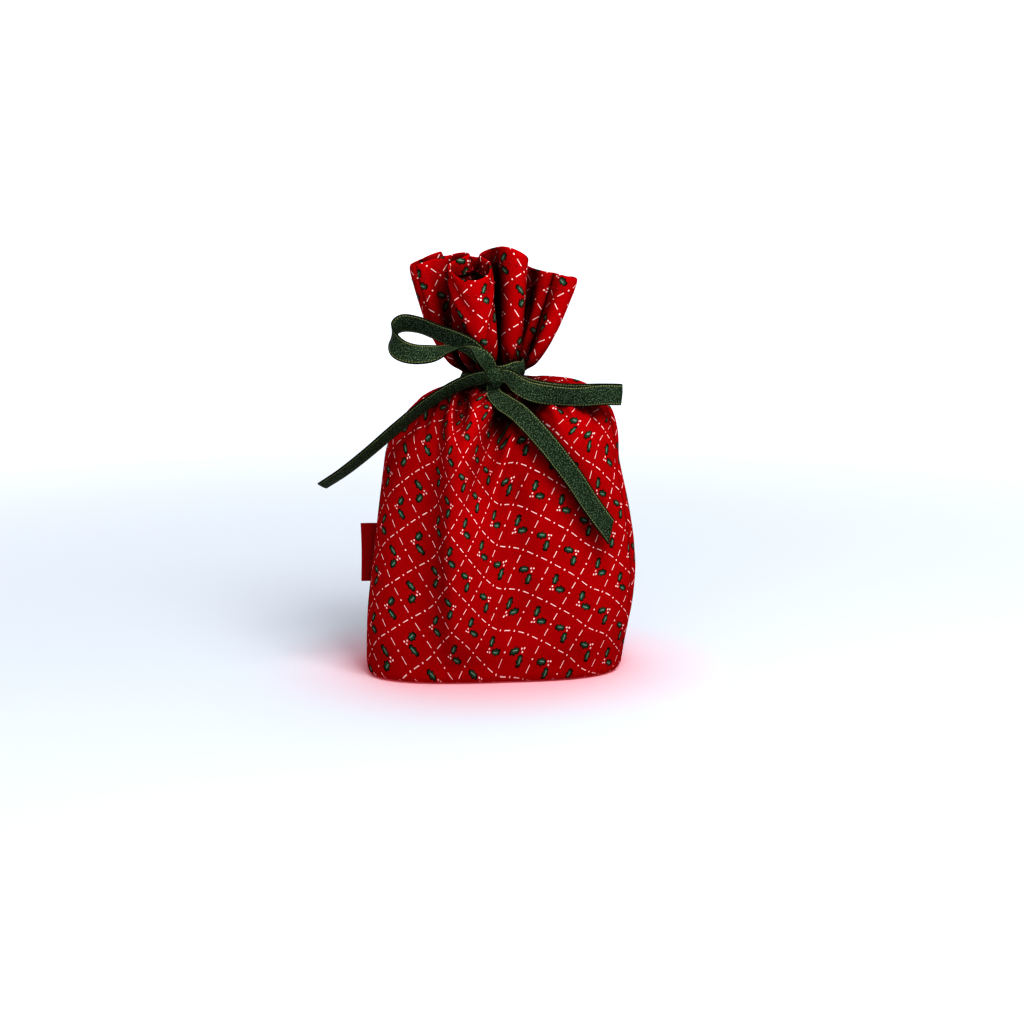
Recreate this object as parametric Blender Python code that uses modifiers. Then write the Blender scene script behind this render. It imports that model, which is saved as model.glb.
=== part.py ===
"""A small cloth gift pouch, gathered at the neck by a ribbon tied in a bow.

Two cotton panels are sewn together down both sides and along the bottom, a
folded label is caught in the left side seam, and one length of ribbon goes
round the neck and ends in a knot, two loops and two tails.

Metres, +Z up. The origin is on the underside of the pouch, in the middle of
its base; the front of the pouch faces -Y.
"""

import math

import bmesh
import bpy
from mathutils import Matrix, Vector

# ---- driving dimensions -----------------------------------------------------

CLOTH = 0.0008  # thickness of a panel's wall
GAP = 0.0003  # clearance between pieces that touch on the real pouch

BODY_HALF_WIDTH = 0.0470
BODY_HALF_DEPTH = 0.0265
BASE_FILLET = 0.0050  # radius where the base turns up into the wall
SEAM_BOW = 0.0020  # how far the bottom seam strays towards the back

SHOULDER_HEIGHT = 0.0740
SHOULDER_HALF_WIDTH = 0.0425
SHOULDER_HALF_DEPTH = 0.0245

NECK_SHIFT = -0.0024  # the neck and mouth stand a little to the left of the body
NECK_HALF_WIDTH = 0.0105
NECK_HALF_DEPTH = 0.0080
NECK_BOTTOM = 0.1012
NECK_TOP = 0.1090

MOUTH_HEIGHT = 0.1490
MOUTH_HALF_WIDTH = 0.0290
MOUTH_HALF_DEPTH = 0.0150

RIBBON_WIDTH = 0.0070
RIBBON_THICK = 0.0006
TIE_HEIGHT = (NECK_BOTTOM + NECK_TOP) / 2

KNOT_CENTRE = Vector((-0.0020, -0.01175, TIE_HEIGHT))
KNOT_SIZE = Vector((0.0074, 0.0048, 0.0074))

THREAD = 0.0005  # diameter of the sewing thread
STITCH = 0.0025  # length of one stitch
THREAD_WAVE = 0.00012  # how far a stitched thread waves to each side
HEM_DEPTH = 0.0060  # from the mouth down to the hem's stitching

LABEL_BOTTOM = 0.0325
LABEL_TOP = 0.0535
LABEL_OUTER_X = -0.0500
LABEL_THICK = 0.0008

AROUND = 28  # faces across one panel
RED = (0.42, 0.004, 0.010, 1.0)
LABEL_RED = (0.26, 0.004, 0.010, 1.0)
THREAD_RED = (0.33, 0.010, 0.016, 1.0)
RIBBON_GREEN = (0.012, 0.040, 0.022, 1.0)

# Each ribbon is a list of (place, direction of its width), in millimetres.
LEFT_LOOP = [
    ((-4.6, -12.8, 109.2), (0.80, -0.30, 0.50)),
    ((-9.6, -12.2, 114.4), (0.55, -0.45, 0.75)),
    ((-15.5, -11.9, 117.4), (0.40, -0.50, 0.85)),
    ((-21.4, -11.6, 120.2), (0.35, -0.50, 0.85)),
    ((-27.6, -11.6, 123.4), (0.25, -0.45, 0.88)),
    ((-33.5, -13.0, 124.6), (0.10, -0.35, 0.93)),
    ((-37.0, -16.5, 122.4), (0.00, -0.20, 0.98)),
    ((-34.4, -20.4, 118.8), (0.05, 0.10, 0.99)),
    ((-28.9, -22.4, 117.2), (0.05, 0.40, 0.90)),
    ((-23.1, -22.5, 116.4), (0.05, 0.70, 0.70)),
    ((-17.6, -21.2, 116.4), (0.10, 0.92, 0.35)),
    ((-12.2, -19.2, 115.9), (0.30, 0.95, 0.05)),
    ((-7.4, -16.8, 113.4), (0.65, 0.75, 0.10)),
    ((-3.4, -15.4, 109.2), (0.90, 0.40, 0.10)),
]
RIGHT_LOOP = [
    ((3.0, -12.8, 104.8), (0.05, 0.00, 1.00)),
    ((6.6, -14.8, 103.2), (0.05, 0.00, 1.00)),
    ((12.0, -15.7, 101.2), (0.00, 0.00, 1.00)),
    ((20.5, -15.8, 99.9), (0.05, 0.00, 1.00)),
    ((27.5, -14.8, 99.8), (0.00, 0.00, 1.00)),
    ((34.4, -13.2, 99.9), (0.05, 0.00, 1.00)),
    ((40.3, -12.0, 99.7), (0.05, 0.00, 1.00)),
    ((41.2, -12.7, 99.7), (0.06, 0.00, 1.00)),
    ((40.3, -13.6, 99.7), (0.05, 0.00, 1.00)),
    ((34.4, -14.9, 99.9), (0.05, 0.00, 1.00)),
    ((27.5, -16.5, 99.8), (0.00, 0.00, 1.00)),
    ((20.5, -17.5, 99.9), (0.05, 0.00, 1.00)),
    ((12.0, -17.5, 101.2), (0.00, 0.00, 1.00)),
    ((6.6, -16.8, 103.2), (0.05, 0.00, 1.00)),
    ((3.0, -14.6, 104.8), (0.05, 0.00, 1.00)),
]
LEFT_TAIL = [
    ((-6.2, -13.0, 104.6), (-0.15, -0.50, 0.85)),
    ((-10.7, -14.4, 104.0), (-0.20, -0.60, 0.80)),
    ((-17.6, -16.6, 101.5), (-0.35, -0.65, 0.70)),
    ((-26.2, -18.6, 96.4), (-0.40, -0.68, 0.62)),
    ((-34.9, -19.2, 89.5), (-0.42, -0.70, 0.58)),
    ((-45.3, -17.8, 80.6), (-0.38, -0.75, 0.55)),
    ((-54.0, -15.0, 73.6), (-0.34, -0.78, 0.52)),
    ((-61.9, -12.0, 68.6), (-0.30, -0.80, 0.52)),
]
RIGHT_TAIL = [
    ((-2.0, -14.0, 98.9), (0.98, 0.00, 0.12)),
    ((1.6, -18.0, 96.2), (0.90, -0.10, 0.35)),
    ((6.9, -22.4, 93.0), (0.82, 0.05, 0.55)),
    ((15.3, -25.2, 84.2), (0.76, 0.15, 0.62)),
    ((24.0, -24.4, 72.8), (0.74, 0.28, 0.61)),
    ((30.8, -23.4, 62.4), (0.74, 0.34, 0.58)),
    ((37.0, -21.8, 53.4), (0.74, 0.38, 0.56)),
]


# ---- scene helpers ----------------------------------------------------------


def clear_scene():
    for old in list(bpy.data.objects):
        bpy.data.objects.remove(old)


def new_collection(name):
    made = bpy.data.collections.new(name)
    bpy.context.scene.collection.children.link(made)
    return made


def material(name, colour, roughness, metallic=0.0):
    made = bpy.data.materials.new(name)
    made.use_nodes = True
    shader = made.node_tree.nodes["Principled BSDF"]
    shader.inputs["Base Color"].default_value = colour
    shader.inputs["Roughness"].default_value = roughness
    shader.inputs["Metallic"].default_value = metallic
    return made


def add_object(name, data, paint, collection):
    made = bpy.data.objects.new(name, data)
    made.data.materials.append(paint)
    collection.objects.link(made)
    return made


def grid_mesh(name, rows):
    """A mesh of quads between rows of points; rows that meet in a point are welded there."""
    mesh = bpy.data.meshes.new(name)
    work = bmesh.new()
    placed = [[work.verts.new(point) for point in row] for row in rows]
    for low, high in zip(placed, placed[1:]):
        for i in range(len(low) - 1):
            work.faces.new((low[i], low[i + 1], high[i + 1], high[i]))
    bmesh.ops.remove_doubles(work, verts=work.verts, dist=1e-6)
    work.to_mesh(mesh)
    work.free()
    mesh.shade_smooth()
    return mesh


def hang_on(thing, pivot):
    """Put an object's origin on its joint's axis without moving its shape."""
    thing.data.transform(Matrix.Translation(-pivot))
    thing.location = pivot


def solidify(thing, thickness, offset):
    shell = thing.modifiers.new("thickness", "SOLIDIFY")
    shell.thickness = thickness
    shell.offset = offset
    shell.use_even_offset = True


# ---- curves -----------------------------------------------------------------


def blend(a, b, share):
    return a + (b - a) * share


def smooth_step(share):
    return share * share * (3 - 2 * share)


def catmull_rom(points, share):
    """The point at share 0 to 1 of a smooth curve through all the points."""
    spans = len(points) - 1
    at = min(share * spans, spans - 1e-9)
    i, t = int(at), at - int(at)
    p1, p2 = points[i], points[i + 1]
    p0 = points[i - 1] if i > 0 else p1 * 2 - p2
    p3 = points[i + 2] if i + 2 < len(points) else p2 * 2 - p1
    return 0.5 * (
        p1 * 2 + (p2 - p0) * t + (p0 * 2 - p1 * 5 + p2 * 4 - p3) * t**2 + (p1 * 3 - p0 - p2 * 3 + p3) * t**3
    )


# ---- the pouch's outline ----------------------------------------------------


def body_section(height):
    """(centre's x, half width, half depth) of the pouch at a height above its base fillet."""
    if height <= SHOULDER_HEIGHT:
        share = smooth_step(max(0.0, height - BASE_FILLET) / (SHOULDER_HEIGHT - BASE_FILLET))
        return (
            0.0,
            blend(BODY_HALF_WIDTH, SHOULDER_HALF_WIDTH, share),
            blend(BODY_HALF_DEPTH, SHOULDER_HALF_DEPTH, share),
        )
    if height <= NECK_BOTTOM:
        rise = (height - SHOULDER_HEIGHT) / (NECK_BOTTOM - SHOULDER_HEIGHT)
        wide = max(0.0, 1 - rise**2.6) ** (1 / 2.6)
        deep = max(0.0, 1 - rise**1.6) ** (1 / 1.6)
        return (
            blend(NECK_SHIFT, 0.0, wide),
            blend(NECK_HALF_WIDTH, SHOULDER_HALF_WIDTH, wide),
            blend(NECK_HALF_DEPTH, SHOULDER_HALF_DEPTH, deep),
        )
    share = max(0.0, height - NECK_TOP) / (MOUTH_HEIGHT - NECK_TOP)
    share = 1 - (1 - share) ** 1.6
    return (
        NECK_SHIFT,
        blend(NECK_HALF_WIDTH, MOUTH_HALF_WIDTH, share),
        blend(NECK_HALF_DEPTH, MOUTH_HALF_DEPTH, share),
    )


def panel_heights():
    """Heights of a panel's rows, from the top of the base fillet to the mouth."""
    wall = [blend(BASE_FILLET, SHOULDER_HEIGHT, i / 6) for i in range(6)]
    rise = NECK_BOTTOM - SHOULDER_HEIGHT
    shoulder = [SHOULDER_HEIGHT + rise * math.sin(math.radians(90 * i / 8)) for i in range(9)]
    collar = [blend(NECK_TOP, MOUTH_HEIGHT, i / 6) for i in range(7)]
    return wall + shoulder + collar


def panel_rows(side):
    """Rows of points of one panel's outer face: side -1 is the front, +1 the back."""
    angles = [math.pi * i / AROUND for i in range(AROUND + 1)]
    seam = GAP / 2

    def ring(centre, half_width, half_depth, height, spread=1.0):
        return [
            (
                centre - half_width * math.cos(a),
                SEAM_BOW * math.sin(a) * (1 - spread) + side * (seam + spread * half_depth * math.sin(a)),
                height,
            )
            for a in angles
        ]

    flat_width = BODY_HALF_WIDTH - BASE_FILLET
    flat_depth = BODY_HALF_DEPTH - BASE_FILLET
    rows = [ring(0.0, flat_width, flat_depth, 0.0, i / 3) for i in range(4)]
    for i in range(1, 5):
        turn = math.radians(90 * i / 4)
        out, up = BASE_FILLET * math.sin(turn), BASE_FILLET * (1 - math.cos(turn))
        rows.append(ring(0.0, flat_width + out, flat_depth + out, up))
    for height in panel_heights()[1:]:
        rows.append(ring(*body_section(height), height))
    return rows


def make_panel(name, side, paint, collection):
    rows = panel_rows(side)
    if side > 0:
        rows = [list(reversed(row)) for row in rows]
    panel = add_object(name, grid_mesh(name, rows), paint, collection)
    solidify(panel, CLOTH, -1.0)
    return panel


# ---- sewing thread ----------------------------------------------------------


def add_thread(name, path, closed, paint, collection):
    """A thread along path(share), waving to one side and the other with each stitch."""
    curve = bpy.data.curves.new(name, "CURVE")
    curve.dimensions = "3D"
    curve.bevel_depth = THREAD / 2
    curve.bevel_resolution = 1
    curve.use_fill_caps = True
    length = sum((path((i + 1) / 60) - path(i / 60)).length for i in range(60))
    count = 2 * round(length / STITCH / 2)
    last = count if closed else count + 1
    spline = curve.splines.new("POLY")
    spline.points.add(last - 1)
    spline.use_cyclic_u = closed
    for i in range(last):
        spline.points[i].co = (*path(i / count), 1.0)
    return add_object(name, curve, paint, collection)


def inside_wall(distance=0.0):
    """How far in from a panel's outer face a thread's centreline runs."""
    return CLOTH + GAP + THREAD / 2 + distance


def side_seam_path(side):
    """Up the inside of one side seam, from the base to the hem; side -1 is the left."""
    top = MOUTH_HEIGHT - HEM_DEPTH - 2 * THREAD
    heights = [height for height in panel_heights() if height < top] + [top]
    sections = [body_section(height) for height in heights]
    profile = [
        Vector((centre + side * half_width, 0.0, height))
        for height, (centre, half_width, _) in zip(heights, sections)
    ]
    inner = []
    for i, place in enumerate(profile):
        along = profile[min(i + 1, len(profile) - 1)] - profile[max(i - 1, 0)]
        inward = Vector((-along.z, 0.0, along.x)).normalized() * side
        inner.append(place + inward * inside_wall(2.5 * GAP))
    reached = [0.0]
    for low, high in zip(inner, inner[1:]):
        reached.append(reached[-1] + (high - low).length)

    def path(share):
        wanted = share * reached[-1]
        i = max(k for k in range(len(inner) - 1) if reached[k] <= wanted)
        within = (wanted - reached[i]) / (reached[i + 1] - reached[i])
        place = inner[i].lerp(inner[i + 1], within)
        wave = THREAD_WAVE * math.cos(math.pi * share * 60)
        return Vector((place.x, wave, place.z))

    return path


def bottom_seam_path(share):
    """Along the inside of the bottom seam, from left to right."""
    turn = math.radians(blend(16, 164, share))
    reach = BODY_HALF_WIDTH - BASE_FILLET
    wave = THREAD_WAVE * math.cos(math.pi * share * 60)
    return Vector((-reach * math.cos(turn), SEAM_BOW * math.sin(turn) + wave, inside_wall()))


def hem_path(share):
    """Round the inside of the mouth, below the folded hem."""
    height = MOUTH_HEIGHT - HEM_DEPTH
    centre, half_width, half_depth = body_section(height)
    turn = 2 * math.pi * share
    inward = inside_wall(GAP)
    return Vector(
        (
            centre + (half_width - inward) * math.cos(turn),
            (half_depth - inward) * math.sin(turn),
            height + THREAD_WAVE * math.cos(math.pi * share * 90),
        )
    )


# ---- label ------------------------------------------------------------------


def seam_point(height):
    """The outermost point of the left side seam at a height."""
    centre, half_width, _ = body_section(height)
    return Vector((centre - half_width, 0.0, height))


def make_label(paint, collection):
    """A short folded tape whose inner edge is a bead along the left side seam."""
    name = "side_label"
    half = LABEL_THICK / 2
    rows = []
    for height in (LABEL_BOTTOM, LABEL_TOP):
        root = seam_point(height).x - GAP - half
        outer = LABEL_OUTER_X
        section = [(outer + half, -half)]
        section += [
            (root + half * math.sin(math.radians(a)), -half * math.cos(math.radians(a)))
            for a in range(0, 181, 30)
        ]
        section += [(outer + half, half), (outer, half / 3), (outer, -half / 3)]
        rows.append([Vector((x, y, height)) for x, y in section])
    mesh = bpy.data.meshes.new(name)
    work = bmesh.new()
    low, high = ([work.verts.new(point) for point in row] for row in rows)
    count = len(low)
    for i in range(count):
        j = (i + 1) % count
        work.faces.new((low[i], low[j], high[j], high[i]))
    work.faces.new(list(reversed(low)))
    work.faces.new(high)
    bmesh.ops.recalc_face_normals(work, faces=work.faces)
    work.to_mesh(mesh)
    work.free()
    label = add_object(name, mesh, paint, collection)
    middle = (LABEL_BOTTOM + LABEL_TOP) / 2
    hang_on(label, Vector((seam_point(middle).x - GAP - half, 0.0, middle)))
    return label


# ---- ribbon -----------------------------------------------------------------


def make_ribbon(name, route, paint, collection):
    """A flat ribbon along a route of (place, direction of width), in millimetres."""
    places = [Vector(place) / 1000 for place, _ in route]
    widths = [Vector(width).normalized() for _, width in route]
    steps = 4 * (len(route) - 1)
    left, right = [], []
    for i in range(steps + 1):
        share = i / steps
        place = catmull_rom(places, share)
        across = catmull_rom(widths, share).normalized() * RIBBON_WIDTH / 2
        left.append(place - across)
        right.append(place + across)
    ribbon = add_object(name, grid_mesh(name, [left, right]), paint, collection)
    solidify(ribbon, RIBBON_THICK, 0.0)
    hang_on(ribbon, places[0])
    return ribbon


def make_neck_wrap(paint, collection):
    """The ribbon's turn round the neck, as one closed band."""
    name = "ribbon_neck_wrap"
    count = 48
    clear = GAP + GAP / 2
    rows = []
    for height in (TIE_HEIGHT - RIBBON_WIDTH / 2, TIE_HEIGHT + RIBBON_WIDTH / 2):
        ring = []
        for i in range(count + 1):
            turn = 2 * math.pi * i / count
            half_width = NECK_HALF_WIDTH + clear
            half_depth = NECK_HALF_DEPTH + clear
            across = NECK_SHIFT + half_width * math.cos(turn)
            ring.append((across, half_depth * math.sin(turn), height))
        rows.append(ring)
    band = add_object(name, grid_mesh(name, rows), paint, collection)
    solidify(band, RIBBON_THICK, 1.0)
    return band


def make_knot(paint, collection):
    """The knot in front of the neck: a rounded block."""
    name = "ribbon_knot"
    bpy.ops.mesh.primitive_cube_add(size=1.0, location=KNOT_CENTRE)
    knot = bpy.context.active_object
    knot.name = knot.data.name = name
    knot.data.transform(Matrix.Diagonal((*KNOT_SIZE, 1.0)))
    rounding = knot.modifiers.new("rounded", "BEVEL")
    rounding.width = 0.0016
    rounding.segments = 4
    knot.data.materials.append(paint)
    knot.data.shade_smooth()
    for other in list(knot.users_collection):
        other.objects.unlink(knot)
    collection.objects.link(knot)
    return knot


# ---- assembly ---------------------------------------------------------------


def main():
    clear_scene()
    pouch = new_collection("gift_pouch")

    cotton = material("printed_cotton", RED, 0.85)
    thread = material("sewing_thread", THREAD_RED, 0.7)
    tape = material("label_tape", LABEL_RED, 0.6)
    ribbon = material("green_ribbon", RIBBON_GREEN, 0.5)

    make_panel("front_panel", -1, cotton, pouch)
    make_panel("back_panel", 1, cotton, pouch)

    add_thread("left_seam_thread", side_seam_path(-1), False, thread, pouch)
    add_thread("right_seam_thread", side_seam_path(1), False, thread, pouch)
    add_thread("bottom_seam_thread", bottom_seam_path, False, thread, pouch)
    add_thread("hem_thread", hem_path, True, thread, pouch)

    make_label(tape, pouch)

    make_neck_wrap(ribbon, pouch)
    make_knot(ribbon, pouch)
    make_ribbon("ribbon_left_loop", LEFT_LOOP, ribbon, pouch)
    make_ribbon("ribbon_right_loop", RIGHT_LOOP, ribbon, pouch)
    make_ribbon("ribbon_left_tail", LEFT_TAIL, ribbon, pouch)
    make_ribbon("ribbon_right_tail", RIGHT_TAIL, ribbon, pouch)


main()
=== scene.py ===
"""The looks of the gift pouch: gathered printed cotton, and a ribbon tied in a bow.

The cloth is a grid of threads that starts from a designed shape and is then
relaxed like cloth: its threads keep their length, it rests on the floor and on
what it is filled with, and the tie holds it at the neck. Lengths in this
script are in millimetres until a mesh is made, unless a name says otherwise.
"""

import math

import bpy
import numpy as np
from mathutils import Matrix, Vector


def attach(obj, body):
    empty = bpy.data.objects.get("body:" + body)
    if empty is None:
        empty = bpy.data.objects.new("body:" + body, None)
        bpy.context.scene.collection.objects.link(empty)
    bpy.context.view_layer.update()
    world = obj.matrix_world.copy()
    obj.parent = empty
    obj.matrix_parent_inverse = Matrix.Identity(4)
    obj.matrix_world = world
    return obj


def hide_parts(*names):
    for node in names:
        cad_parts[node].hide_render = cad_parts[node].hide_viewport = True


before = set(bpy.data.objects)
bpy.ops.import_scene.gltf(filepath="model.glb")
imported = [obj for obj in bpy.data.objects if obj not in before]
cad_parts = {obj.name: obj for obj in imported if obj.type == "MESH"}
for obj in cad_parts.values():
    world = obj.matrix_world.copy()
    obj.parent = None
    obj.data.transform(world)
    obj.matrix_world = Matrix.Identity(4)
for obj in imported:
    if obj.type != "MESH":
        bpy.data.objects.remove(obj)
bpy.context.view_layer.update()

MM = 0.001

# ---- driving dimensions, in millimetres --------------------------------------

PANEL_WIDTH = 127.0  # each flat panel, from side seam to side seam
PANEL_HEIGHT = 184.0  # from the bottom seam to the mouth
COLUMNS = 144  # threads of the grid round the pouch
ROWS_BELOW = 76
ROWS_ABOVE = 28
CLOTH_THICK = 0.35
HEM_DEPTH = 6.0  # cloth turned in at the mouth
HEM_GAP = 0.6  # between the hem's two layers, middle to middle
RIGHT_SEAM = COLUMNS // 2 - 5  # the right side seam lies a little forward of the side
SEAM_PINCH = 0.9  # how deep the side seams lie in the surface
BASE_ROWS = 13  # by this row, up from the bottom seam, the cloth has left the base

TIE_HEIGHT = 105.0
NECK_CENTRE = (-2.4, 0.0)
NECK_HALF = (10.0, 7.6)
MOUTH_HALF = (29.0, 16.0)  # the oval that the mouth's folds swing about

SHOULDER_HEIGHT = 76.0
SHOULDER_TOP = 101.0
RIGHT_RISE = 2.0  # how much higher the shoulder's top is at the right
SHOULDER_POWER = (1.65, 2.0, 2.8)  # how square the shoulder is, at the left, middle and right
BASE_FILLET = 1.2
BASE_START = 0.4  # the base's height before the cloth is relaxed

# The filled body's outline: how far it reaches to each side at each height.
BODY_HEIGHTS = (0.0, 10.0, 24.0, 36.0, 48.0, 60.0, 76.0)
BODY_LEFT = (48.0, 48.2, 47.4, 45.8, 44.3, 42.8, 40.6)
BODY_RIGHT = (42.8, 44.6, 47.4, 48.4, 47.4, 45.2, 41.4)
BODY_FRONT = (25.0, 25.4, 25.4, 25.2, 24.8, 24.4, 23.6)
BODY_BACK = (23.0, 24.5, 25.0, 25.0, 24.5, 24.0, 23.0)
BODY_SQUARENESS = (2.7, 2.6, 2.45, 2.35, 2.3, 2.3, 2.3)
FRONT_LEFT_SQUARENESS = (3.6, 3.8, 3.8, 3.8, 3.6, 3.4, 3.2)
BASE_SKEW = 0.09  # the base's front reaches further out on the left than on the right
SLACK = (0.93, 0.72)  # the filling's size beside the cloth's outline: in the body, near the top
HOLD = (0.2, 0.15, 0.10, 0.10)  # how firmly the cloth keeps to its start shape, going up
CREASE = 0.55  # how much deeper the front's folds are pressed once the cloth has relaxed
BIAS_GIVE = 0.5  # how much of the weft's climb towards the sides is lost to shear
TAUT = 0.972  # the cloth's height below the tie beside the start shape's

# The front's print is turned to the right of the ridge, where a soft pleat hides cloth.
PRINT_LEAN = 0.25  # how steeply its weft runs down to the right
LEAN_START = 50.0  # where that starts, from the left seam round the front
LEAN_EASE = 10.0  # the width over which it sets in
PRINT_TURN = 0.2  # how steeply its warp leans across
TURN_BAND = (40.0, 64.0)  # where the warp's lean sets in, from the left seam round the front
TURN_FOOT = 10.0  # how far up the cloth it starts
LEAN_FADE = (84.0, 106.0)  # heights between which both die out

# Folds down the front, each as its line from the foot up: (x, z, rise). A valley has a negative rise.
RIDGE = [
    (-16.0, 6.0, 0.0),
    (-17.6, 22.0, 4.4),
    (-18.0, 45.0, 7.2),
    (-17.8, 78.0, 7.0),
    (-16.0, 94.0, 2.6),
    (-14.0, 101.0, 0.0),
]
PLEAT = [(-14.0, 58.0, 0.0), (-13.0, 70.0, 1.8), (-11.0, 82.0, 3.0), (-8.5, 95.0, 1.5), (-6.0, 102.0, 0.0)]
PLEAT_VALLEY = [
    (-10.0, 58.0, 0.0),
    (-8.3, 68.0, -2.4),
    (-5.6, 80.0, -4.0),
    (-2.8, 90.0, -5.0),
    (0.0, 100.0, -3.0),
]
MIDDLE_VALLEY = [
    (5.5, 10.0, 0.0),
    (4.5, 26.0, -1.6),
    (3.6, 45.0, -2.4),
    (3.0, 62.0, -2.2),
    (2.0, 80.0, -0.6),
]
LEFT_GATHER = [(-14.4, 80.0, 0.0), (-13.6, 92.0, -3.5), (-11.5, 103.0, -2.0)]
RIGHT_GATHER = [(12.0, 76.0, 0.0), (10.0, 91.0, -3.2), (7.0, 103.0, -1.0)]
RIGHT_SWELL = [(29.0, 6.0, 0.0), (28.0, 24.0, 1.2), (24.0, 50.0, 0.6), (20.0, 70.0, 0.0)]
FOLDS = [  # line, how far it spreads to the left and to the right, and whether its top is sharp
    (RIDGE, 4.2, 23.0, True),
    (PLEAT, 6.0, 4.5, False),
    (PLEAT_VALLEY, 2.6, 8.5, False),
    (MIDDLE_VALLEY, 5.5, 11.0, False),
    (LEFT_GATHER, 3.5, 4.0, False),
    (RIGHT_GATHER, 7.0, 10.0, False),
    (RIGHT_SWELL, 9.0, 9.0, False),
]
SHARP_POWER = 1.3

# The mouth's edge, from the left seam across the front to the right seam ...
MOUTH_FRONT = [
    (-29.6, -3.0, 142.0),
    (-24.0, -2.5, 143.8),
    (-17.0, -0.5, 145.4),
    (-11.5, 2.5, 146.6),
    (-13.0, -1.5, 144.8),
    (-17.0, -4.0, 143.0),
    (-17.4, -8.5, 141.0),
    (-14.5, -12.5, 138.4),
    (-9.0, -14.0, 137.0),
    (-5.2, -11.5, 138.4),
    (-3.2, -7.0, 140.6),
    (-4.0, -0.5, 143.5),
    (-7.0, 5.0, 145.8),
    (-3.0, 4.0, 147.6),
    (1.5, -2.5, 148.6),
    (6.0, -3.0, 147.0),
    (9.5, -0.5, 144.0),
    (7.5, 4.5, 143.0),
    (9.0, 8.0, 141.6),
    (12.0, 5.0, 140.6),
    (17.0, 2.0, 139.4),
    (22.0, -0.5, 138.6),
    (25.6, -2.0, 137.4),
]
# ... and back along the rear panel.
MOUTH_BACK = [
    (25.6, -2.0, 137.4),
    (25.0, 4.0, 138.2),
    (20.0, 7.0, 138.0),
    (14.5, 7.0, 138.8),
    (13.0, 10.5, 139.2),
    (14.0, 15.0, 139.4),
    (9.5, 17.0, 141.2),
    (6.0, 14.0, 144.5),
    (3.5, 10.0, 146.0),
    (0.5, 10.5, 147.0),
    (0.0, 15.5, 146.5),
    (-4.5, 18.0, 145.5),
    (-8.5, 14.5, 144.4),
    (-9.5, 10.0, 144.4),
    (-13.0, 9.0, 145.2),
    (-14.5, 13.0, 146.0),
    (-19.0, 15.5, 145.0),
    (-22.5, 12.0, 145.5),
    (-21.5, 7.0, 146.5),
    (-25.0, 5.0, 145.0),
    (-28.6, 6.0, 143.6),
    (-30.8, 2.5, 142.4),
    (-29.6, -3.0, 142.0),
]


# ---- curves -------------------------------------------------------------------


def smooth_curve(points, count):
    """count points, evenly spaced by length, on a smooth curve through all the points."""
    given = np.array(points, dtype=float)
    ends = np.vstack([2 * given[0] - given[1], given, 2 * given[-1] - given[-2]])
    fine = []
    t = np.linspace(0, 1, 24, endpoint=False)[:, None]
    for i in range(1, len(ends) - 2):
        a, b, c, d = ends[i - 1 : i + 3]
        square = 2 * a - 5 * b + 4 * c - d
        cube = 3 * b - a - 3 * c + d
        fine.append(0.5 * (2 * b + (c - a) * t + square * t**2 + cube * t**3))
    fine = np.vstack(fine + [given[-1:]])
    return even_steps(fine, count)


def lengths_along(line):
    """How far along a line each of its points is."""
    return np.concatenate([[0], np.cumsum(np.linalg.norm(np.diff(line, axis=0), axis=1))])


def unit(vectors):
    """The vectors at length 1."""
    return vectors / (np.linalg.norm(vectors, axis=-1)[..., None] + 1e-9)


def even_steps(line, count):
    """A line of points resampled to count points at equal steps."""
    reached = lengths_along(line)
    wanted = np.linspace(0, reached[-1], count)
    return np.column_stack([np.interp(wanted, reached, line[:, k]) for k in range(line.shape[1])])


# ---- the pouch's cloth: where it starts ------------------------------------------


def body_reach(cosine, sine, height):
    """Distance from the body's axis to its outline, in one direction, at one height."""
    level = np.clip(height, BODY_HEIGHTS[0], BODY_HEIGHTS[-1])
    left = np.interp(level, BODY_HEIGHTS, BODY_LEFT)
    right = np.interp(level, BODY_HEIGHTS, BODY_RIGHT)
    front = np.interp(level, BODY_HEIGHTS, BODY_FRONT)
    back = np.interp(level, BODY_HEIGHTS, BODY_BACK)
    wide = np.where(cosine < 0, left, right)
    deep = np.where(sine < 0, front, back)
    rounder = np.interp(level, BODY_HEIGHTS, BODY_SQUARENESS)
    squarer = np.interp(level, BODY_HEIGHTS, FRONT_LEFT_SQUARENESS)
    power = np.where((cosine < 0) & (sine < 0), squarer, rounder)
    deep = deep * np.where(sine < 0, 1 - BASE_SKEW * cosine * np.interp(level, (0, 40), (1, 0)), 1)
    return ((np.abs(cosine) / wide) ** power + (np.abs(sine) / deep) ** power) ** (-1 / power)


def fold_rise(x, height):
    """How far the front's folds lift its cloth at each x, at one height."""
    rise = np.zeros_like(x)
    for line, left, right, sharp in FOLDS:
        middle_x, middle_z, peak = np.array(line).T
        off = x - np.interp(height, middle_z, middle_x)
        spread = np.where(off < 0, left, right)
        near = np.clip(1 - np.abs(off) / spread, 0, 1)
        shape = near**SHARP_POWER if sharp else near**2 * (3 - 2 * near)
        rise += shape * np.interp(height, middle_z, peak, left=0.0)
    return rise


def outline_directions():
    """Unit directions of the grid's columns round the body, evenly spaced along its outline."""
    middle = BODY_HEIGHTS[3]
    halves = []
    for start in (math.pi, 0.0):
        turn = start + np.linspace(0, math.pi, 400)
        reach = body_reach(np.cos(turn), np.sin(turn), middle)
        line = np.column_stack([reach * np.cos(turn), reach * np.sin(turn)])
        halves.append(even_steps(line, COLUMNS // 2 + 1)[:-1])
    return unit(np.vstack(halves))


def mouth_edge():
    """The mouth's edge, one point for each of the grid's columns."""
    front = smooth_curve(MOUTH_FRONT, COLUMNS // 2 + 1)[:-1]
    back = smooth_curve(MOUTH_BACK, COLUMNS // 2 + 1)[:-1]
    return np.vstack([front, back])


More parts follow.
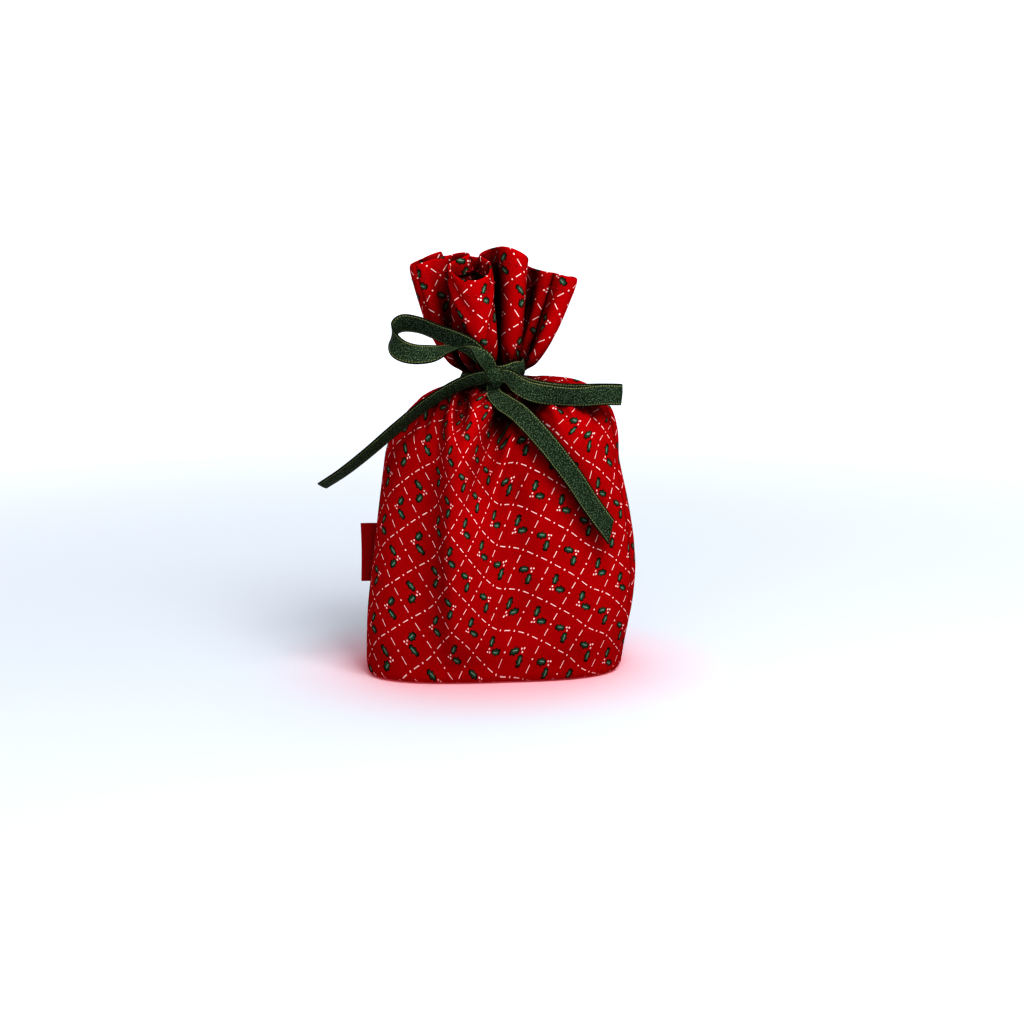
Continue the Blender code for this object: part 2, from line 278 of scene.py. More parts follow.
def neck_ring(mouth):
    """The gathered cloth at the tie: the mouth's folds pressed into a small oval."""
    plan = mouth[:, :2] - NECK_CENTRE
    far = np.linalg.norm(plan, axis=1)
    direction = plan / far[:, None]
    neck_oval = 1 / np.hypot(direction[:, 0] / NECK_HALF[0], direction[:, 1] / NECK_HALF[1])
    mouth_oval = 1 / np.hypot(direction[:, 0] / MOUTH_HALF[0], direction[:, 1] / MOUTH_HALF[1])
    share = np.clip(far / mouth_oval, 0.08, 1.0) ** 0.55
    return NECK_CENTRE + direction * (neck_oval * share)[:, None]


def start_shape():
    """The cloth's grid before it is relaxed: rows from the bottom seam up to the mouth."""
    mouth = mouth_edge()
    neck = neck_ring(mouth)
    direction = outline_directions()
    cosine, sine = direction[:, 0], direction[:, 1]
    front = np.clip(-sine * 1.5, 0, 1)

    def level(height):
        plan = direction * body_reach(cosine, sine, height)[:, None]
        return np.column_stack([plan, np.full(COLUMNS, height)])

    def folded(ring, slope=0.0):
        lift = fold_rise(ring[:, 0], ring[:, 2].mean()) * front
        ring[:, 1] -= lift * math.cos(slope)
        ring[:, 2] += lift * math.sin(slope)
        return ring

    rows = []
    for share in np.linspace(0, 1, 8)[:-1]:
        edge = level(BASE_START)
        edge[:, :2] *= 1 - BASE_FILLET / np.linalg.norm(edge[:, :2], axis=1)[:, None]
        edge[:, 1] *= share
        rows.append(edge)
    for angle in np.radians(np.linspace(0, 90, 6)):
        ring = level(BASE_FILLET)
        far = np.linalg.norm(ring[:, :2], axis=1)[:, None]
        ring[:, :2] *= 1 - BASE_FILLET * (1 - np.sin(angle)) / far
        ring[:, 2] = BASE_START + BASE_FILLET * (1 - np.cos(angle))
        rows.append(ring)
    for height in np.linspace(BASE_FILLET + 2, SHOULDER_HEIGHT, 30):
        rows.append(folded(level(height)))
    power = np.interp(cosine, (-1, 0, 1), SHOULDER_POWER)
    top = SHOULDER_TOP + RIGHT_RISE * np.clip(cosine, 0, 1)
    for angle in np.radians(np.linspace(3, 90, 30)):
        out = (np.cos(angle) ** (2 / power))[:, None]
        up = np.sin(angle) ** (2 / power)
        ring = level(SHOULDER_HEIGHT)
        ring[:, :2] = neck + (ring[:, :2] - neck) * out
        ring[:, 2] = SHOULDER_HEIGHT + (top - SHOULDER_HEIGHT) * up
        rows.append(folded(ring, angle))
    rows.append(np.column_stack([neck, np.full(COLUMNS, TIE_HEIGHT)]))
    below = np.array(rows)

    above = []
    for share in np.linspace(0, 1, ROWS_ABOVE + 1)[1:]:
        flare = share ** np.where(mouth[:, :1] > 8.0, 0.8, 0.58)
        plan = neck + (mouth[:, :2] - neck) * flare
        height = TIE_HEIGHT + (mouth[:, 2] - TIE_HEIGHT) * share
        above.append(np.column_stack([plan, height]))

    lower = np.stack([even_steps(below[:, k], ROWS_BELOW + 1) for k in range(COLUMNS)], axis=1)
    upper = np.stack(
        [
            even_steps(np.vstack([lower[-1:, k], np.array(above)[:, k]]), ROWS_ABOVE + 1)[1:]
            for k in range(COLUMNS)
        ],
        axis=1,
    )
    return np.concatenate([lower, upper])


# ---- the pouch's cloth: relaxing it -----------------------------------------------


def eased(grid):
    """Each value moved towards its neighbours to the left and right."""
    return (np.roll(grid, 1, axis=1) + 2 * grid + np.roll(grid, -1, axis=1)) / 4


def linked(ids, down, across):
    """Pairs of grid points that lie (down, across) apart, split so that no point is in a set twice."""
    count = ids.shape[0] - down
    first = ids[:count]
    second = np.roll(ids, -across, axis=1)[down : down + count]
    if down:
        turn = (np.arange(count) // down) % 2
        return [(first[turn == k].ravel(), second[turn == k].ravel()) for k in (0, 1)]
    turn = (np.arange(ids.shape[1]) // across) % 2
    return [(first[:, turn == k].ravel(), second[:, turn == k].ravel()) for k in (0, 1)]


def flat_places(grid):
    """Where each grid point is on the flat cloth: (round the pouch, up from the bottom seam).

    The mouth's edge is straight on the flat cloth. The tie crosses it at a slight slant, so each
    column is measured down from the mouth.
    """
    steps = np.linalg.norm(np.diff(grid, axis=0), axis=2)
    steps[:ROWS_BELOW] *= TAUT
    for _ in range(2):
        steps = eased(steps)
    from_mouth = np.vstack([np.cumsum(steps[::-1], axis=0)[::-1], np.zeros((1, COLUMNS))])
    across = np.broadcast_to(np.arange(COLUMNS) * 2 * PANEL_WIDTH / COLUMNS, from_mouth.shape)
    return np.stack([across, PANEL_HEIGHT - from_mouth], axis=-1)


def print_places(cloth, flat):
    """Where the print lies: the weft climbs towards the sides, but less than the plain path tells.

    The cloth gives on the bias, so part of the difference between columns at one height is taken
    up by shear below the shoulders.
    """
    top = ROWS_BELOW - 2
    heights = np.linspace(2.0, 98.0, 60)
    body = slice(BASE_ROWS, top)
    each = []
    for column in range(COLUMNS):
        order = np.argsort(cloth[body, column, 2])
        each.append(np.interp(heights, cloth[body, column, 2][order], flat[body, column, 1][order]))
    usual = np.mean(each, axis=0)
    height = cloth[..., 2]
    share = BIAS_GIVE * np.interp(height, (0, 70, 100), (1.0, 1.0, 0.0))
    shift = share * (np.interp(height, heights, usual) - flat[..., 1])
    shift[:BASE_ROWS] = shift[BASE_ROWS]
    shift[top:] = 0.0
    for _ in range(4):
        shift[BASE_ROWS:] = eased(shift)[BASE_ROWS:]
    placed = flat.copy()
    placed[..., 1] += shift
    return placed


def turned_print(cloth, places):
    """The front's print places with the print turned a little to the right of the ridge."""
    across, up = places[..., 0], places[..., 1]
    past = np.maximum(across - LEAN_START, 0.0)
    down = PRINT_LEAN * (past - LEAN_EASE * (1 - np.exp(-past / LEAN_EASE)))
    along = PRINT_TURN * np.maximum(up - TURN_FOOT, 0.0) * np.interp(across, TURN_BAND, (0, 1))
    share = np.interp(cloth[..., 2], LEAN_FADE, (1.0, 0.0))
    return np.stack([across + along * share, up - down * share], axis=-1)


def gathered_share(rows):
    """How firmly each row resists being pushed together sideways: hardly at all at tie and base."""
    from_tie = np.abs(rows - ROWS_BELOW)
    from_base = rows - BASE_ROWS + 1.0
    return np.clip((from_tie - 2.0) / 12.0, 0.0, 1.0) * np.clip(from_base / 5.0, 0.02, 1.0)


# Links between grid points: how far apart they lie down and across the grid, and how firmly they
# are pulled together when stretched and pushed apart when pressed.
LINKS = (
    (1, 0, 1.0, 0.9),
    (0, 1, 1.0, 0.8),
    (1, 1, 0.15, 0.15),
    (1, -1, 0.15, 0.15),
    (2, 0, 0.0, 0.25),
    (0, 2, 0.0, 0.25),
    (4, 0, 0.0, 0.03),
    (0, 4, 0.0, 0.05),
)
STEPS = 100
PASSES = 4
CARRY = 0.85  # share of its last move that a point keeps in the next step
WEIGHT = 0.008  # how far its weight moves a point in a step
FLOOR_GRIP = 0.5
LOWEST = 0.3  # no point of the cloth sinks below this height
RUFFLE_HOLD = 0.02
MOUTH_HOLD = 0.10


def relax(grid, flat):
    """The grid once it has settled: its threads keep their length, and floor and filling hold it up."""
    ids = np.arange(grid.shape[0] * COLUMNS).reshape(grid.shape[0], COLUMNS)
    across = 2 * PANEL_WIDTH / COLUMNS
    flat_height = flat[..., 1].ravel()
    firm = np.repeat(gathered_share(np.arange(grid.shape[0])), COLUMNS)

    links = []
    for pair_down, pair_across, pull, push in LINKS:
        for a, b in linked(ids, pair_down, pair_across):
            rest = np.hypot(flat_height[b] - flat_height[a], pair_across * across)
            share = firm[a] if pair_across else np.ones(len(a))
            links.append((a, b, rest, pull, push * share))

    point = grid.reshape(-1, 3).copy()
    goal = point.copy()
    free = np.ones(len(point))
    free[ids[ROWS_BELOW - 1 : ROWS_BELOW + 2].ravel()] = 0.0
    hold = np.zeros(len(point))
    hold[ids[ROWS_BELOW + 2 :].ravel()] = RUFFLE_HOLD
    hold[ids[-1]] = MOUTH_HOLD
    hold[ids[: ROWS_BELOW - 1]] = np.interp(goal[ids[: ROWS_BELOW - 1], 2], (0, 30, 80, 100), HOLD)
    before = point.copy()
    seam = ids[0]
    for _ in range(STEPS):
        moved = point + (point - before) * CARRY
        moved[:, 2] -= WEIGHT
        before = point
        point = np.where(free[:, None] > 0, moved, goal)
        for _ in range(PASSES):
            for a, b, rest, pull, push in links:
                gap = point[b] - point[a]
                far = np.sqrt((gap * gap).sum(axis=1)) + 1e-9
                stiff = np.where(far > rest, pull, push)
                weight = free[a] + free[b] + 1e-9
                fix = gap * (stiff * (far - rest) / (far * weight))[:, None]
                point[a] += fix * free[a][:, None]
                point[b] -= fix * free[b][:, None]
            point += (goal - point) * (hold * free)[:, None]
            rest_on_filling(point, free)
            low = point[:, 2] < LOWEST
            point[low, 2] = LOWEST
            point[low, :2] += (before[low, :2] - point[low, :2]) * FLOOR_GRIP
            point[seam] = (point[seam] + point[np.roll(seam[::-1], 1)]) / 2
    return point.reshape(grid.shape)


def creased(cloth):
    """The relaxed cloth with the front's folds pressed deeper, but not moved sideways."""
    face = outward(cloth)
    x, height = cloth[..., 0], cloth[..., 2]
    front = np.clip(-face[..., 1] * 1.5, 0, 1) * np.interp(height, (2, 8, 94, 101), (0, 1, 1, 0))
    front[ROWS_BELOW - 1 :] = 0
    return cloth + face * (0, 1, 1) * (CREASE * front * fold_rise(x, height))[..., None]


def smoothed(cloth):
    """Small wrinkles along the body are eased out; the front ridge and the gathers stay."""
    x, y, height = cloth[..., 0], cloth[..., 1], cloth[..., 2]
    ridge_x = np.interp(height, (22, 45, 78), (-18.5, -19.0, -18.8))
    from_ridge = np.where(y < 0, np.abs(x - ridge_x), 99.0)
    share = np.clip(from_ridge / 3.0 - 1.7, 0, 1) * np.interp(height, (1, 6, 76, 92), (0, 1, 1, 0))
    share[ROWS_BELOW:] = 0
    pleated = np.clip(1.6 - np.abs(x + 2.0) / 14.0, 0, 1) * (y < 0)
    share *= 1 - pleated * np.interp(height, (50, 64), (0, 1))
    for _ in range(14):
        middle = (np.roll(cloth, 1, axis=1) + np.roll(cloth, -1, axis=1)) / 2
        cloth = cloth + (middle - cloth) * (0.6 * share)[..., None]
    return cloth


def rest_on_filling(point, free):
    """Push points of the body out of what the pouch is filled with."""
    height = point[:, 2]
    inside = (height < SHOULDER_TOP - 2) & (free > 0)
    far = np.hypot(point[:, 0], point[:, 1]) + 1e-9
    cosine, sine = point[:, 0] / far, point[:, 1] / far
    reach = body_reach(cosine, sine, height) * np.interp(height, (60, 90), SLACK)
    rise = np.clip((height - SHOULDER_HEIGHT) / (SHOULDER_TOP - 1.5 - SHOULDER_HEIGHT), 0, 1)
    power = 2.0 + 0.5 * np.abs(cosine)
    reach *= (1 - rise**power) ** (1 / power)
    push = np.where(inside & (far < reach) & (height > BASE_FILLET * 0.7), reach / far, 1.0)
    point[:, :2] *= push[:, None]


# ---- meshes ---------------------------------------------------------------------


def grid_object(name, grid, flat, material, layer_name="cloth"):
    """A quad mesh over rows and columns of points, with each point's flat place as its UV."""
    rows, columns = grid.shape[:2]
    mesh = bpy.data.meshes.new(name)
    ids = np.arange(rows * columns).reshape(rows, columns)
    faces = np.stack([ids[:-1, :-1], ids[:-1, 1:], ids[1:, 1:], ids[1:, :-1]], axis=-1).reshape(-1, 4)
    mesh.from_pydata((grid.reshape(-1, 3) * MM).tolist(), [], faces.tolist())
    layer = mesh.uv_layers.new(name=layer_name)
    layer.data.foreach_set("uv", flat.reshape(-1, 2)[faces.ravel()].ravel())
    mesh.shade_smooth()
    mesh.materials.append(material)
    made = bpy.data.objects.new(name, mesh)
    bpy.context.scene.collection.objects.link(made)
    return made


def thicken(piece, thickness, rounds=1):
    """Give an open surface its thickness, half to each side, after rounding it off."""
    if rounds:
        soft = piece.modifiers.new("smooth", "SUBSURF")
        soft.levels = soft.render_levels = rounds
    shell = piece.modifiers.new("thickness", "SOLIDIFY")
    shell.thickness = thickness * MM
    shell.offset = 0


# ---- camera ---------------------------------------------------------------------

CAMERA_TARGET = (3.9, 0.0, 55.6)
CAMERA_RISE = 11.0  # degrees that it looks down by
CAMERA_AWAY = 505.0


def add_camera():
    camera = bpy.data.cameras.new("camera")
    camera.lens = 50
    camera.sensor_width = 36
    made = bpy.data.objects.new("camera", camera)
    bpy.context.scene.collection.objects.link(made)
    rise = math.radians(CAMERA_RISE)
    back = Vector((0, -math.cos(rise), math.sin(rise))) * CAMERA_AWAY
    made.location = (Vector(CAMERA_TARGET) + back) * MM
    made.rotation_euler = (math.pi / 2 - rise, 0, 0)
    bpy.context.scene.camera = made


# ---- materials --------------------------------------------------------------------


class Value:
    """A number in a shader: sums and comparisons of values make math nodes."""

    def __init__(self, tree, socket):
        self.tree = tree
        self.socket = socket

    def math(self, operation, *others):
        node = self.tree.nodes.new("ShaderNodeMath")
        node.operation = operation
        for slot, other in zip(node.inputs, (self, *others)):
            if isinstance(other, Value):
                self.tree.links.new(other.socket, slot)
            else:
                slot.default_value = other
        return Value(self.tree, node.outputs[0])

    def __add__(self, other):
        return self.math("ADD", other)

    def __sub__(self, other):
        return self.math("SUBTRACT", other)

    def __mul__(self, other):
        return self.math("MULTIPLY", other)

    def size(self):
        return self.math("ABSOLUTE")

    def below(self, other):
        return self.math("LESS_THAN", other)

    def above(self, other):
        return self.math("GREATER_THAN", other)

    def floor(self):
        return self.math("FLOOR")

    def from_nearest(self):
        """Signed distance to the nearest whole number."""
        return self - self.math("ROUND")

    def either(self, other):
        return self.math("MAXIMUM", other)

    def at_least(self, other):
        return self.math("MAXIMUM", other)

    def at_most(self, other):
        return self.math("MINIMUM", other)

    def far(self, other):
        """Length of the vector (self, other)."""
        return (self * self + other * other).math("SQRT")


def linear(red, green, blue):
    """A display colour, 0 to 255, as the linear colour that a shader takes."""

    def one(level):
        share = level / 255
        return ((share + 0.055) / 1.055) ** 2.4 if level > 10 else share / 12.92

    return one(red), one(green), one(blue)


def new_material(name, roughness, specular):
    """A new material, its node tree and its shader."""
    made = bpy.data.materials.new(name)
    made.use_nodes = True
    tree = made.node_tree
    shader = tree.nodes["Principled BSDF"]
    shader.inputs["Roughness"].default_value = roughness
    shader.inputs["Specular IOR Level"].default_value = specular
    return made, tree, shader


def surface_place(tree, layer):
    """The two UV coordinates of a named layer, in millimetres."""
    uv = tree.nodes.new("ShaderNodeUVMap")
    uv.uv_map = layer
    split = tree.nodes.new("ShaderNodeSeparateXYZ")
    tree.links.new(uv.outputs["UV"], split.inputs[0])
    return Value(tree, split.outputs["X"]), Value(tree, split.outputs["Y"])


def paint(tree, under, over, share):
    """One colour laid over another where share is 1. Colours are sockets or RGB triples."""
    mix = tree.nodes.new("ShaderNodeMix")
    mix.data_type = "RGBA"
    tree.links.new(share.socket, mix.inputs["Factor"])
    for slot, colour in ((mix.inputs["A"], under), (mix.inputs["B"], over)):
        if isinstance(colour, tuple):
            slot.default_value = (*colour, 1.0)
        else:
            tree.links.new(colour, slot)
    return mix.outputs["Result"]


def noise(tree, layer, scale, detail=2.0, stretch=(1.0, 1.0, 1.0)):
    """Smooth noise from 0 to 1 over a UV layer; scale is in turns per millimetre."""
    uv = tree.nodes.new("ShaderNodeUVMap")
    uv.uv_map = layer
    mapping = tree.nodes.new("ShaderNodeMapping")
    mapping.inputs["Scale"].default_value = stretch
    tree.links.new(uv.outputs["UV"], mapping.inputs["Vector"])
    made = tree.nodes.new("ShaderNodeTexNoise")
    made.inputs["Scale"].default_value = scale
    made.inputs["Detail"].default_value = detail
    tree.links.new(mapping.outputs["Vector"], made.inputs["Vector"])
    return Value(tree, made.outputs["Fac"])


def bump(tree, shader, height, distance, strength):
    """Shade a surface as if it were raised by height times distance, in millimetres."""
    made = tree.nodes.new("ShaderNodeBump")
    made.inputs["Strength"].default_value = strength
    made.inputs["Distance"].default_value = distance * MM
    tree.links.new(height.socket, made.inputs["Height"])
    tree.links.new(made.outputs["Normal"], shader.inputs["Normal"])


def weave(across, up, pitch):
    """Height of a plain weave, from 0 to 1.4: threads that pass over and under each other."""
    over = (across * (math.pi / pitch)).math("SINE").size()
    under = (up * (math.pi / pitch)).math("SINE").size()
    turn = ((across * (1 / pitch)).floor() + (up * (1 / pitch)).floor()) * 0.5
    odd = (turn - turn.floor()).above(0.25)
    return over * (odd * 0.6 + 0.4) + under * (odd * -0.6 + 1.0)


FLOOR_FADE = 22.0  # below this height the painted shade from the floor itself counts for less
LEAST_SHADE = 0.15  # share of it that counts at the floor


def enclosed(tree, reach, fades=True):
    """0 in the open and towards 1 deep in a fold, looking as far as reach in millimetres: an ambient
    occlusion share, which the materials use to paint shade in folds and a red bounce on the floor.

    If it fades, it counts for less close to the floor.
    """
    open_share = tree.nodes.new("ShaderNodeAmbientOcclusion")
    open_share.samples = 6
    open_share.inputs["Distance"].default_value = reach * MM
    share = (Value(tree, open_share.outputs["AO"]) * -1.0 + 1.0).at_least(0.0)
    if not fades:
        return share
    place = tree.nodes.new("ShaderNodeNewGeometry")
    split = tree.nodes.new("ShaderNodeSeparateXYZ")
    tree.links.new(place.outputs["Position"], split.inputs[0])
    off_floor = (Value(tree, split.outputs["Z"]) * (1 / (FLOOR_FADE * MM))).at_most(1.0)
    return share * off_floor.at_least(LEAST_SHADE)


# The print: a lattice of dots and dashes at 45 degrees, with a holly sprig in each square.
LATTICE_PITCH = 12.0
DOT_RADIUS = 0.31
DASH_HALF_LENGTH = 1.25
DASH_HALF_WIDTH = 0.16
BERRY_RADIUS = 0.33
BERRIES = ((1.3, 0.9), (2.2, 0.5), (1.2, -0.25))
LEAVES = (  # middle, direction it points in, length, width
    ((-1.1, 1.9), 150.0, 3.5, 2.3),
    ((-0.3, -2.2), 58.0, 3.4, 2.3),
)
OUTLINE = 0.42  # how much larger the dark outline is than its leaf
BACK_SHIFT = (5.0, 3.0)  # the back panel is cut from another place in the print

COTTON_DEEP = linear(150, 0, 10)
COTTON_BRIGHT = linear(184, 0, 18)
# painted shade: the deep red that the cotton is darkened to in its folds and hollows
COTTON_PAINTED_SHADE = linear(38, 0, 2)
PRINT_WHITE = linear(255, 226, 220)
LEAF_OUTLINE = linear(20, 24, 18)
LEAF_GREEN = linear(50, 78, 58)
LEAF_VEIN = linear(128, 156, 136)


def lattice_mask(a, b):
    """1 on the dots and dashes along both families of lines; a and b count the lines."""
    spacing = LATTICE_PITCH / 2
    mask = None
    for line, along in ((a, b), (b, a)):
        off = line.from_nearest() * LATTICE_PITCH
        from_dot = (along * 2.0).from_nearest() * spacing
        from_dash = (along * 2.0 + 0.5).from_nearest() * spacing
        dot = off.far(from_dot).below(DOT_RADIUS)
        dash = off.size().below(DASH_HALF_WIDTH) * from_dash.size().below(DASH_HALF_LENGTH)
        both = dot.either(dash)
        mask = both if mask is None else mask.either(both)
    return mask


def leaf_masks(x, y, leaf):
    """(outline, leaf, vein) masks of one holly leaf in the sprig's own coordinates."""
    (middle_x, middle_y), angle, length, width = leaf
    cosine, sine = math.cos(math.radians(angle)), math.sin(math.radians(angle))

    def outline(grow, shift_x, shift_y, reach=1.0):
        dx, dy = x - (middle_x + shift_x), y - (middle_y + shift_y)
        along = (dx * cosine + dy * sine) * (2 / (length * reach + grow))
        across = (dy * cosine - dx * sine).size()
        spikes = (along * 8.0).math("COSINE") * 0.2 + 0.82
        half = (along * along * along * along * -1.0 + 1.0) * spikes * (width * reach / 2 + grow / 2)
        return across.below(half)

    dx, dy = x - (middle_x + 0.12), y - middle_y
    along = (dx * cosine + dy * sine).size()
    across = (dy * cosine - dx * sine).size()
    vein = across.below(0.16) * along.below(length * 0.24)
    return outline(OUTLINE, -0.12, -0.07), outline(0.0, 0.0, 0.0, 0.86), vein


def printed_cotton(shift):
    """Red cotton with its print, which starts at shift on the flat cloth."""
    made, tree, shader = new_material("printed_cotton", 0.95, 0.0)
    across, up = surface_place(tree, "cloth")
    u, v = across + shift[0], up + shift[1]
    scale = 1 / (math.sqrt(2) * LATTICE_PITCH)
    a, b = (u + v) * scale, (v - u) * scale

    turn = (a.floor() + b.floor()).math("MODULO", 4.0)
    turn = (turn + 4.0).math("MODULO", 4.0)
    facing = turn.above(1.5) * 2.0 - 1.0
    in_a, in_b = a - a.floor() - 0.5, b - b.floor() - 0.5
    half_diagonal = LATTICE_PITCH / math.sqrt(2)
    x = (in_a - in_b) * half_diagonal * facing
    y = (in_a + in_b) * half_diagonal * facing

    wander = noise(tree, "cloth", 0.05, 3.0)
    slub = noise(tree, "cloth", 1.6, 2.0, (0.15, 1.0, 1.0))
    colour = paint(tree, COTTON_DEEP, COTTON_BRIGHT, wander * 0.7 + slub * 0.3)

    white = lattice_mask(a, b)
    for berry_x, berry_y in BERRIES:
        white = white.either((x - berry_x).far(y - berry_y).below(BERRY_RADIUS))
    worn = noise(tree, "cloth", 1.3, 2.0) * 0.5 + 0.60
    white = white * worn.at_most(1.0)
    colour = paint(tree, colour, PRINT_WHITE, white)
    for leaf in LEAVES:
        outline, shape, vein = leaf_masks(x, y, leaf)
        colour = paint(tree, colour, LEAF_OUTLINE, outline)
        colour = paint(tree, colour, LEAF_GREEN, shape)
        colour = paint(tree, colour, LEAF_VEIN, vein)
    # painted shade: the cotton's colour is darkened towards a deep red in folds, hollows and under the
    # bow, by ambient occlusion
    shade = (enclosed(tree, 18.0) * 1.15).at_most(1.0)
    colour = paint(tree, colour, COTTON_PAINTED_SHADE, shade)
    tree.links.new(colour, shader.inputs["Base Color"])
    shader.inputs["Sheen Weight"].default_value = 0.02
    shader.inputs["Sheen Roughness"].default_value = 0.5
    shader.inputs["Sheen Tint"].default_value = (1.0, 0.05, 0.05, 1.0)
    bump(tree, shader, weave(across, up, 0.36) + slub * 0.6, 0.05, 0.5)
    return made


def ribbon_material():
    """Dark green woven ribbon with a gold thread just inside each edge."""
    made, tree, shader = new_material("green_ribbon", 0.6, 0.08)
    along, across = surface_place(tree, "ribbon")
    speck = noise(tree, "ribbon", 2.4, 3.0)
    patch = noise(tree, "ribbon", 0.18, 2.0)
    # painted glints: bright flecks in the base colour stand in for the sparkle of the ribbon
    glint = (speck - 0.52).at_least(0.0) * 6.0
    colour = paint(tree, linear(8, 22, 12), linear(34, 52, 34), speck * 0.6 + patch * 0.5)
    colour = paint(tree, colour, linear(116, 138, 104), glint.at_most(0.7))
    from_edge = across.size() * -1.0 + RIBBON_WIDTH / 2
    selvage = from_edge.below(0.32)
    colour = paint(tree, colour, linear(12, 26, 14), selvage)
    thread = (from_edge - 0.52).size().below(0.15)
    dash = (along * 1.1).from_nearest().size().below(0.30)
    gold = thread * dash
    colour = paint(tree, colour, linear(132, 130, 84), gold)
    tree.links.new(colour, shader.inputs["Base Color"])
    shader.inputs["Sheen Weight"].default_value = 0.01
    shader.inputs["Sheen Roughness"].default_value = 0.4
    shader.inputs["Sheen Tint"].default_value = (0.6, 0.8, 0.6, 1.0)
    bump(tree, shader, weave(along, across, 0.30) + gold * 1.5 + speck, 0.05, 0.6)
    return made


def label_material():
    """Plain red woven tape."""
    made, tree, shader = new_material("label_tape", 0.8, 0.05)
    along, up = surface_place(tree, "label")
    soft = noise(tree, "label", 0.9, 2.0)
    colour = paint(tree, linear(138, 0, 6), linear(160, 0, 10), soft)
    tree.links.new(colour, shader.inputs["Base Color"])
    bump(tree, shader, weave(along, up, 0.25), 0.04, 0.5)
    return made


def thread_material():
    """Red sewing thread, mottled by its twist."""
    made, tree, shader = new_material("sewing_thread", 0.7, 0.3)
    place = tree.nodes.new("ShaderNodeTexCoord")
    twist = tree.nodes.new("ShaderNodeTexNoise")
    twist.inputs["Scale"].default_value = 2500.0
    tree.links.new(place.outputs["Object"], twist.inputs["Vector"])
    share = Value(tree, twist.outputs["Fac"])
    colour = paint(tree, linear(150, 8, 18), linear(196, 20, 34), share)
    tree.links.new(colour, shader.inputs["Base Color"])
    bump(tree, shader, share, 0.04, 0.5)
    return made


# The floor glows from GLOW_NEAR to GLOW_FAR away from the pouch, more and more.
GLOW_NEAR = 30.0
GLOW_FAR = 800.0
GLOW_EVEN = 0.07  # keeps the floor's shadows light
GLOW_STRENGTH = 0.5
BOUNCE = 0.1  # red light thrown back on to the floor close to the pouch
BOUNCE_REACH = 42.0
PAPER = linear(204, 210, 218)
# painted red bounce: the pink that the paper is tinted to close to the pouch
PAPER_PAINTED_BOUNCE = linear(255, 128, 140)
GLOW_WHITE = linear(250, 252, 255)
GLOW_RED = linear(255, 90, 105)


def studio_material():
    """Pale paper that glows more and more away from the pouch, so that the backdrop stays bright, with a
    painted red bounce close to the pouch.
    """
    made, tree, shader = new_material("studio_floor", 0.9, 0.05)
    x, y = surface_place(tree, "floor")
    far = (x.far(y) - GLOW_NEAR).at_least(0.0) * (1 / (GLOW_FAR - GLOW_NEAR))
    near = enclosed(tree, BOUNCE_REACH, False)
    # painted red bounce: close to the pouch the paper is tinted pink and glows red, where ambient
    # occlusion finds the pouch
    tree.links.new(paint(tree, PAPER, PAPER_PAINTED_BOUNCE, near * 0.65), shader.inputs["Base Color"])
    glow_colour = paint(tree, GLOW_WHITE, GLOW_RED, (near * 3.0).at_most(1.0))
    tree.links.new(glow_colour, shader.inputs["Emission Color"])
    glow = far.at_most(1.0) * GLOW_STRENGTH + near * BOUNCE + GLOW_EVEN
    tree.links.new(glow.socket, shader.inputs["Emission Strength"])
    return made


# ---- ribbon -----------------------------------------------------------------------

RIBBON_WIDTH = 7.0
RIBBON_THICK = 0.45
RIBBON_LANES = 9  # points across a loop or a tail
RIBBON_STEP = 0.8  # from one row of points to the next along it
KNOT_CENTRE = (-2.0, -11.9, 104.6)

# Each ribbon is a list of (place, direction of its width).
LEFT_LOOP = [
    ((-3.0, -12.9, 106.8), (0.90, -0.20, 0.40)),
    ((-4.6, -12.8, 109.2), (0.80, -0.30, 0.50)),
    ((-9.6, -12.2, 114.4), (0.55, -0.45, 0.75)),
    ((-15.5, -11.9, 117.4), (0.40, -0.50, 0.85)),
    ((-21.4, -11.6, 119.8), (0.30, -0.62, 0.72)),
    ((-27.6, -11.6, 122.2), (0.20, -0.60, 0.76)),
    ((-33.5, -13.0, 122.8), (0.15, -0.45, 0.88)),
    ((-36.3, -16.5, 119.9), (0.12, -0.20, 0.96)),
    ((-34.4, -20.4, 115.4), (0.15, 0.10, 0.98)),
    ((-29.4, -22.4, 113.4), (0.10, 0.40, 0.90)),
    ((-23.1, -22.5, 113.4), (0.05, 0.65, 0.75)),
    ((-17.6, -21.2, 114.8), (0.05, 0.93, 0.30)),
    ((-12.2, -19.2, 115.0), (0.25, 0.95, -0.15)),
    ((-7.8, -16.8, 112.8), (0.60, 0.80, 0.05)),
    ((-4.6, -14.8, 110.2), (0.90, 0.40, 0.10)),
    ((-2.8, -12.8, 106.6), (0.95, 0.20, 0.10)),
]
RIGHT_LOOP = [
    ((0.0, -12.0, 105.4), (0.05, 0.00, 1.00)),
    ((3.0, -12.8, 104.8), (0.05, 0.00, 1.00)),
    ((6.6, -14.0, 102.6), (0.05, 0.10, 1.00)),
    ((12.0, -15.2, 100.6), (0.00, 0.15, 1.00)),
    ((20.5, -15.2, 99.4), (0.05, 0.05, 1.00)),
    ((27.5, -14.2, 99.2), (0.00, -0.10, 1.00)),
    ((34.4, -12.6, 99.1), (0.05, -0.05, 1.00)),
    ((40.0, -11.6, 98.9), (0.05, 0.00, 1.00)),
    ((41.2, -12.7, 98.8), (0.06, 0.00, 1.00)),
    ((40.3, -14.0, 98.8), (0.05, 0.05, 1.00)),
    ((34.4, -15.4, 99.0), (0.05, 0.20, 1.00)),
    ((27.5, -17.0, 98.6), (0.00, -0.15, 1.00)),
    ((20.5, -18.0, 98.9), (0.05, -0.25, 1.00)),
    ((12.0, -17.9, 99.9), (0.00, 0.20, 1.00)),
    ((6.6, -16.8, 102.0), (0.10, 0.35, 0.95)),
    ((3.0, -14.9, 104.8), (0.05, 0.00, 1.00)),
    ((0.0, -14.2, 105.4), (0.05, 0.00, 1.00)),
]
